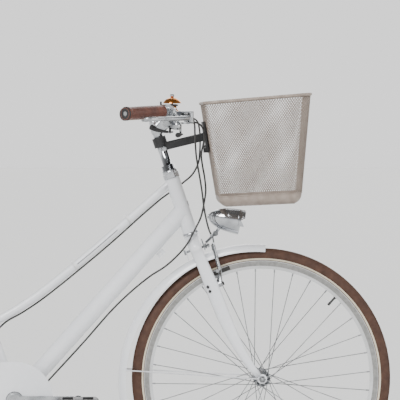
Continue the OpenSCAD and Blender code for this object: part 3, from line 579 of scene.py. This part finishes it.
# Cable routes in millimetres from the front axle, from lever to brake or hub.
cableSizes = {"radius": 0.0025, "step": 0.006,
              "ferrule": ((-3, 2.4), (-2.5, 3.3), (6, 3.4), (7, 3.0), (9, 2.7))}
frontBrakeRoute = [
    (-206, -168, 1052), (-192, -164, 1051), (-185, -152, 1036), (-183, -128, 1008), (-181, -102, 980),
    (-178, -78, 950), (-173, -62, 920), (-167, -50, 888), (-161, -44, 850), (-156, -40, 810),
    (-149, -36, 775), (-142, -28, 750), (-134, -18, 733)]
shiftRoute = [
    (-203, -150, 1038), (-188, -142, 1040), (-173, -134, 1036), (-162, -122, 1024), (-157, -104, 1003),
    (-160, -80, 978), (-164, -58, 953), (-160, -42, 922), (-154, -32, 890), (-151, -27, 855),
    (-156, -27, 820), (-164, -30, 785), (-180, -36, 752), (-200, -40, 715), (-225, -36, 684),
    (-260, -27, 652), (-302, -15, 624), (-354, -5, 581), (-408, 0, 528), (-480, 0, 446), (-560, 0, 359),
    (-612, 0, 302), (-636, 0, 272), (-664, -4, 262), (-700, -18, 270), (-740, -30, 284),
    (-800, -38, 296), (-900, -48, 309), (-1000, -57, 320), (-1072, -62, 328)]
rearBrakeRoute = [
    (-199.4, 165, 1052), (-190, 160, 1052), (-178, 150, 1050), (-168, 130, 1041), (-164, 104, 1022),
    (-163, 76, 998), (-164, 56, 966), (-168, 43, 932), (-184, 34, 900), (-208, 32, 878),
    (-232, 26, 860), (-254, 12, 845), (-277, 2, 828), (-327, 0, 785), (-379, 0, 738), (-433, 0, 691),
    (-487, 0, 646), (-541, 0, 602), (-594, 2, 561), (-644, 10, 527), (-690, 20, 500), (-716, 24, 470),
    (-722, 26, 430), (-722, 30, 380), (-732, 36, 340), (-752, 41, 322), (-800, 47, 322),
    (-880, 55, 332), (-960, 58, 345), (-1020, 58, 356), (-1042, 57, 362)]


def makeCable(name, route, blendEnds=None):
    s = cableSizes
    path = smoothPath([at(*p) for p in route], s["step"])
    piece = tube(name + "_housing", path, s["radius"], cableSkin)
    if blendEnds:
        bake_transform(piece)
    else:
        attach(piece, "steering")
    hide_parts(name)
    lastBody = "frame" if blendEnds else "steering"
    for k, (end, inner, body) in enumerate(((path[0], path[3], "steering"), (path[-1], path[-4], lastBody))):
        cap = lathe(f"{name}_ferrule_{k}", s["ferrule"], end, inner - end, alloy, 20)
        settle(cap, body, "polished_alloy")


# Saddle sizes in metres; along is 0 at the rear and 1 at the nose.
saddleSizes = {
    "stations": 40, "around": 36, "rearHalf": 0.080, "noseHalf": 0.0185, "waist": 0.42, "taper": 11,
    "dip": 0.006, "noseDrop": 0.004, "crown": 0.004, "skirt": 0.03, "seamTurn": 0.48,
    "sideRound": 0.62, "topRound": 0.7}


def saddleStation(u, top):
    # Half width, top height and skirt depth at u, which is -1 at the rear and 1 at the nose.
    s = saddleSizes
    along = (u + 1) / 2
    wide = s["rearHalf"] * (1 - 1 / (1 + math.exp(-(along - s["waist"]) * s["taper"]))) + s["noseHalf"]
    ends = math.sqrt(max(0, 1 - abs(u) ** 9))
    lift = top - 0.0015 - s["dip"] * math.sin(math.pi * min(1, along * 1.25)) - s["noseDrop"] * along ** 4
    skirt = (s["skirt"] if along < 0.4 else s["skirt"] - 0.006 * (along - 0.4)) * (0.25 + 0.75 * ends)
    return max(wide * ends, 0.0008), lift, skirt


def makeSaddle():
    s = saddleSizes
    around, stations = s["around"], s["stations"]
    low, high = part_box("saddle")
    middleX, length = (low[0] + high[0]) / 2, (high[0] - low[0]) / 2 - 0.001
    points, leftSeam, rightSeam = [], [], []
    for i in range(stations + 1):
        u = -math.cos(math.pi * i / stations)
        x = middleX + length * u
        half, lift, skirt = saddleStation(u, high[2])
        for k in range(around):
            a = 2 * math.pi * k / around
            y = half * math.copysign(abs(math.cos(a)) ** s["sideRound"], math.cos(a))
            drop = math.copysign(abs(math.sin(a)) ** s["topRound"], math.sin(a))
            points.append((x, y, lift - 0.5 * skirt * (1 - drop) - s["crown"] * (y / max(half, 0.001)) ** 2))
        if 2 < i < stations - 2:
            y = half * math.cos(s["seamTurn"]) ** s["sideRound"]
            drop = math.sin(s["seamTurn"]) ** s["topRound"]
            z = lift - 0.5 * skirt * (1 - drop) - s["crown"] * (y / half) ** 2
            leftSeam.append((x, y, z))
            rightSeam.append((x, -y, z))
    piece = meshObject("saddle_cover", points, ringFaces(stations + 1, around), saddleLeather, 60.0)
    soft = piece.modifiers.new("soft", "SUBSURF")
    soft.levels = soft.render_levels = 1
    settle(piece, "seat", "brown_leather", "saddle")
    for side, line in (("left", leftSeam), ("right", rightSeam)):
        seam(f"saddle_{side}_stitching", smoothPath(line, 0.004), "seat")


# Places and profiles in millimetres, stitches in metres; the ring and the plug sit in the end cap.
gripSizes = {
    "inner": (-270, 199, 1068), "outer": (-366, 292, 1062), "radius": 16.8, "swell": 0.35, "ridge": 0.25,
    "wraps": 40, "stitchPitch": 0.0018, "stitchDepth": 0.0173,
    "innerLip": ((0, 11.3), (0, 16.9), (1.2, 17.5), (5, 17.5), (6, 16.6)),
    "outerLip": ((-7, 16.8), (-6, 17.8), (-1, 18.4), (0, 18), (0, 11.3)),
    "cap": ((-2, 11), (0, 17.6), (3, 18.2), (4.6, 17.4), (5, 14), (4, 12), (4, 0.3)),
    "ring": ((3.6, 13.4), (5, 13.8), (5.3, 15), (4.8, 16.2), (3.6, 16.4)),
    "plug": ((3.8, 7), (4.8, 6.6), (5.0, 4.6), (4.4, 3.4), (4.4, 0.3))}


def makeGrip(label, side):
    s = gripSizes
    a, b = (at(x, side * y, z) for x, y, z in (s["inner"], s["outer"]))
    way = (b - a).normalized()
    length = (b - a).length * 1000
    profile = list(s["innerLip"])
    for k in range(1, s["wraps"]):
        swell = s["swell"] * math.sin(k * math.pi / s["wraps"]) + (s["ridge"] if k % 4 == 0 else 0)
        profile.append((6 + (length - 14) * k / s["wraps"], s["radius"] + swell))
    profile += [(length + d, r) for d, r in s["outerLip"]]
    replaced = ["grips"] if label == "right" else []
    settle(lathe(f"{label}_grip_leather", profile, a, way, gripLeather, 40, 50.0, True), "steering",
           "brown_leather", *replaced)
    settle(lathe(f"{label}_grip_end", s["cap"], b, way, blackPlastic, 40), "steering", "black_plastic")
    settle(lathe(f"{label}_grip_ring", s["ring"], b, way, gripLeather, 40, 35.0, True), "steering",
           "brown_leather")
    settle(lathe(f"{label}_grip_plug", s["plug"], b, way, zinc, 6), "steering", "steel")
    down = (Vector((0, 0, -1)) - way * Vector((0, 0, -1)).dot(way)).normalized()
    count = int((length - 18) / (s["stitchPitch"] * 1000))
    path = [a + way * (0.009 + s["stitchPitch"] * k) + down * s["stitchDepth"] for k in range(count)]
    seam(f"{label}_grip_stitching", path, "steering")


# Small fittings. Places are millimetres from the front axle; profiles are (along, radius) in millimetres.
steeringLean = math.radians(18.4)
leanWay = (math.cos(steeringLean), 0, math.sin(steeringLean))  # forward, square to the steering
fittingProfiles = {
    "bellKnob": ((0, 4.0), (1, 5.6), (4.5, 6), (6.5, 4.5), (7, 0.4)),
    "frontWindow": ((0, 7.6), (1.2, 7.6), (1.8, 6.8), (2.0, 0.3)),
    "rearWindow": ((0, 6.4), (1.2, 6.4), (1.8, 5.6), (2.0, 0.3)),
    "badge": ((0, 8), (1.4, 8), (1.9, 7.2), (2.0, 0.4)),
    "bulb": ((0, 5), (6, 5), (9, 3.6), (10.5, 0.3)),
    "bladeBolt": ((0, 4.6), (2.6, 4.6), (2.7, 3.6), (5.4, 3.4), (6, 2.6), (6, 1.6), (4.6, 1.4), (4.6, 0.2))}


def bolt(name, place, way, radius, body, material=zinc):
    # Hex head with a washer face and a chamfered top.
    profile = [(0, radius * 1.25), (1.0, radius * 1.25), (1.0, radius), (4.2, radius), (4.8, radius * 0.86),
               (4.8, 0.2)]
    settle(lathe(name, profile, place, way, material, 6), body, "steel")


def makeBarFittings():
    shapes = fittingProfiles
    settle(lathe("bell_knob", shapes["bellKnob"], at(-243, -105, 1108), (0, 0, 1), chrome, 32),
           "steering", "chrome_plate")
    for name, profile, place, way in (
            ("shift_window_front", shapes["frontWindow"], (-224, -171, 1062), (0.2, -0.85, 0.5)),
            ("shift_window_rear", shapes["rearWindow"], (-241, -184, 1038), (-0.3, -0.9, 0.3))):
        settle(lathe(name, profile, at(*place), way, badgeDark, 32), "steering", "black_plastic")
    bolt("clamp_bolt", at(-262, -21, 968), (0, -1, 0), 5, "steering", alloy)
    bolt("stem_bolt", at(-233, -8, 1038), (0.6, 0, -0.8), 4, "steering")


# Front brake, in millimetres: the noodle's bend, then the boot and the bare wire between the two arms.
brakeSizes = {"noodle": ((-134.5, -18.5, 735), (-131.5, -28, 728), (-130.4, -39, 719), (-130.3, -43, 711),
                         (-130.3, -38, 708.4), (-130.3, -28, 708.4)),
              "wireX": -130.3, "wireZ": 708.4, "wireYs": (21, 24, 28, 31, 35, 42), "bootLength": 46,
              "bladeBolts": ((-145.6, 598), (-139.8, 586))}


def makeBrakeFittings():
    s = brakeSizes
    bolt("front_crown_nut", at(-145, 0, 706.6), leanWay, 5.5, "steering")
    for side, arm, label in ((1, "left_brake_arm", "left"), (-1, "right_brake_arm", "right")):
        bolt(f"{label}_brake_bolt", at(-106.5, side * 44, 606.4), leanWay, 5, arm, blackPlastic)
        bolt(f"{arm}_pad_nut", middle(arm) + Vector((0.0, side * 0.0095, -0.012)), (0, side, 0), 4.4, arm)
    for k, (x, z) in enumerate(s["bladeBolts"]):
        place = at(x, -50.5, z)
        head = lathe(f"blade_bolt_{k}", fittingProfiles["bladeBolt"], place, (0, -1, 0), blackPaint, 28)
        settle(head, "steering", "black_steel")
    bend = smoothPath([at(*p) for p in s["noodle"]], 0.002)
    settle(tube("brake_noodle", bend, 0.0022, alloy, 14), "right_brake_arm", "polished_alloy")
    folds = [(k, 3.6 if k % 4 < 2 else 2.7) for k in range(1, s["bootLength"] - 2)]
    bellows = [(0, 1.4)] + folds + [(s["bootLength"], 1.4)]
    settle(lathe("brake_boot", bellows, at(s["wireX"], -24, s["wireZ"]), (0, 1, 0), padRubber, 20),
           "steering", "pad_rubber")
    wirePath = [at(s["wireX"], y, s["wireZ"]) for y in s["wireYs"]]
    settle(tube("brake_inner_wire", wirePath, 0.0008, zinc, 8), "left_brake_arm", "steel")


def makeFrameTrim():
    badge = lathe("head_badge", fittingProfiles["badge"], at(-199.0, 0, 821.5), leanWay, badgeDark, 40)
    settle(badge, "frame", "black_plastic")
    for label, side in (("right", -1), ("left", 1)):
        path = smoothPath([at(x, side * 11.1, z) for x, z in ((-388, 750), (-442, 703), (-496, 658))], 0.01)
        settle(tube(f"top_tube_stripe_{label}", path, 0.0009, badgeDark, 8), "frame", "black_plastic")


def makeLampBulb():
    place, way = at(-92, 0, 776.5), (0.982, 0, -0.187)
    bulb = lathe("lamp_bulb", fittingProfiles["bulb"], place, way, whitePlastic, 24)
    settle(bulb, "headlight", "chrome_plate")


# The CAD pieces whose shape stays: a merged copy of each, so that its round faces shade smoothly.
finishOf = {
    "head_tube": white, "down_tube": white, "top_tube": white, "seat_tube": white,
    "bottom_bracket_shell": white, "chain_stays": white, "seat_stays": white, "rear_fender": white,
    "chain_guard": white, "fork": white, "front_fender": white, "headset_cups": chrome, "seat_clamp": alloy,
    "chain": chainSteel, "rear_axle": zinc, "roller_brake": blackPaint, "roller_brake_arm": zinc,
    "rear_reflector": redLens, "cable_clips": whitePlastic, "kickstand": zinc, "seatpost": chrome,
    "right_crank": alloy, "chainring": alloy, "left_crank": alloy, "right_pedal": blackPlastic,
    "left_pedal": blackPlastic, "rear_rim": rearRimMetal, "rear_spokes": zinc, "rear_hub": alloy,
    "rear_sprocket": chainSteel, "front_rim": frontRimMetal, "front_spokes": zinc, "front_hub": alloy,
    "front_axle": zinc, "stem": chrome, "handlebar": chrome, "basket_bracket": blackPaint,
    "lever_bracket": alloy, "shifter_housing": alloy, "left_brake_lever": alloy, "right_brake_lever": alloy,
    "thumb_lever": blackPlastic, "release_lever": blackPlastic, "bell": copper, "bell_striker": blackPlastic,
    "headlight_bracket": zinc, "headlight_shell": chrome, "headlight_lens": lensClear,
    "left_brake_arm": alloy, "right_brake_arm": alloy, "left_brake_pad": padRubber,
    "right_brake_pad": padRubber}
# Widths of the rounded edges, in millimetres.
bevelled = {
    "right_crank": 1.6, "left_crank": 1.6, "right_pedal": 2.0, "left_pedal": 2.0, "basket_bracket": 1.5,
    "left_brake_pad": 1.5, "right_brake_pad": 1.5, "rear_reflector": 2.0}


def keepShape(node, material):
    piece = finishMesh(node + "_finished", frame["nodes"][node].data.copy(), material, 32.0)
    if node in bevelled:
        bevel = piece.modifiers.new("edge", "BEVEL")
        bevel.width = bevelled[node] / 1000
        bevel.segments = 3
        bevel.limit_method = "ANGLE"
        bevel.angle_limit = math.radians(50)
    settle(piece, bodyOf[node], slotOf[node], node)


makeBasketWalls()
makeBasketFloor()
makeBasketEdges()
print("basket made")
makeTyre("front_tyre", frontAxle, "front_wheel", frontTyreRubber)
makeTyre("rear_tyre", rearAxle, "rear_wheel", rearTyreRubber)
print("tyres made")
makeCable("front_brake_cable", frontBrakeRoute)
makeCable("shift_cable", shiftRoute, ((-160, -42, 922), (-260, -27, 652)))
makeCable("rear_brake_cable", rearBrakeRoute, ((-163, 76, 998), (-254, 12, 845)))
print("cables made")
makeSaddle()
print("saddle made")
makeGrip("right", -1)
makeGrip("left", 1)
print("grips made")
makeBarFittings()
makeBrakeFittings()
makeFrameTrim()
makeLampBulb()
print("fittings made")
for nodeName, finish in finishOf.items():
    keepShape(nodeName, finish)
print("CAD pieces finished:", len(finishOf))


# Suns are (name, place, angle in degrees, strength); the sky's stops run from below to overhead.
stageSizes = {
    "halfFloor": 60, "floorDrop": 0.0005,
    "lens": 267, "camera": (-420, -8000, 1040), "aim": (-165.5, 0, 830),
    "sky": ((0.0, 0.7), (0.5, 1.0), (0.6, 0.95), (0.7, 0.35), (0.9, 0.15)), "skyStrength": 1.35,
    "suns": (("key", (-2.0, -4.0, 5.0), 30, 3.2), ("fill", (5.0, -3.0, 3.0), 50, 0.9),
             ("back", (1.0, 5.0, 4.0), 50, 1.5))}


def makeFloor():
    size = stageSizes["halfFloor"]
    paint = mouldedPolymer("paintedStudioFloor", "#E9E9E8", "#EFEFEE", 0.7, 0.85, 0.01)
    corners = [(-size, -size, 0), (size, -size, 0), (size, size, 0), (-size, size, 0)]
    floor = meshObject("floor", corners, [(0, 1, 2, 3)], paint)
    floor.location.z = -stageSizes["floorDrop"]


def makeSky():
    world = bpy.data.worlds.new("studio")
    bpy.context.scene.world = world
    world.use_nodes = True
    tree = world.node_tree
    place = addNode(tree, "ShaderNodeTexCoord").outputs["Generated"]
    height = addNode(tree, "ShaderNodeSeparateXYZ", {0: place}).outputs["Z"]
    scaled = addNode(tree, "ShaderNodeMapRange", {0: height, 1: -1.0, 2: 1.0}).outputs[0]
    sky = ramp(tree, scaled, [(stop, grey(value)) for stop, value in stageSizes["sky"]])
    tree.links.new(sky, tree.nodes["Background"].inputs[0])
    tree.nodes["Background"].inputs[1].default_value = stageSizes["skyStrength"]


def makeSuns():
    for name, place, angle, power in stageSizes["suns"]:
        lamp = bpy.data.lights.new(name, "SUN")
        lamp.angle = math.radians(angle)
        lamp.energy = power
        light = bpy.data.objects.new(name, lamp)
        light.location = place
        light.rotation_euler = (Vector((0, 0, 0.6)) - Vector(place)).to_track_quat("-Z", "Y").to_euler()
        bpy.context.scene.collection.objects.link(light)


def makeCamera():
    lens = bpy.data.cameras.new("camera")
    lens.lens = stageSizes["lens"]
    lens.clip_end = 200
    camera = bpy.data.objects.new("camera", lens)
    camera.location = at(*stageSizes["camera"])
    camera.rotation_euler = (at(*stageSizes["aim"]) - camera.location).to_track_quat("-Z", "Y").to_euler()
    bpy.context.scene.collection.objects.link(camera)
    bpy.context.scene.camera = camera


makeFloor()
makeSky()
makeSuns()
makeCamera()
print("scene ready")
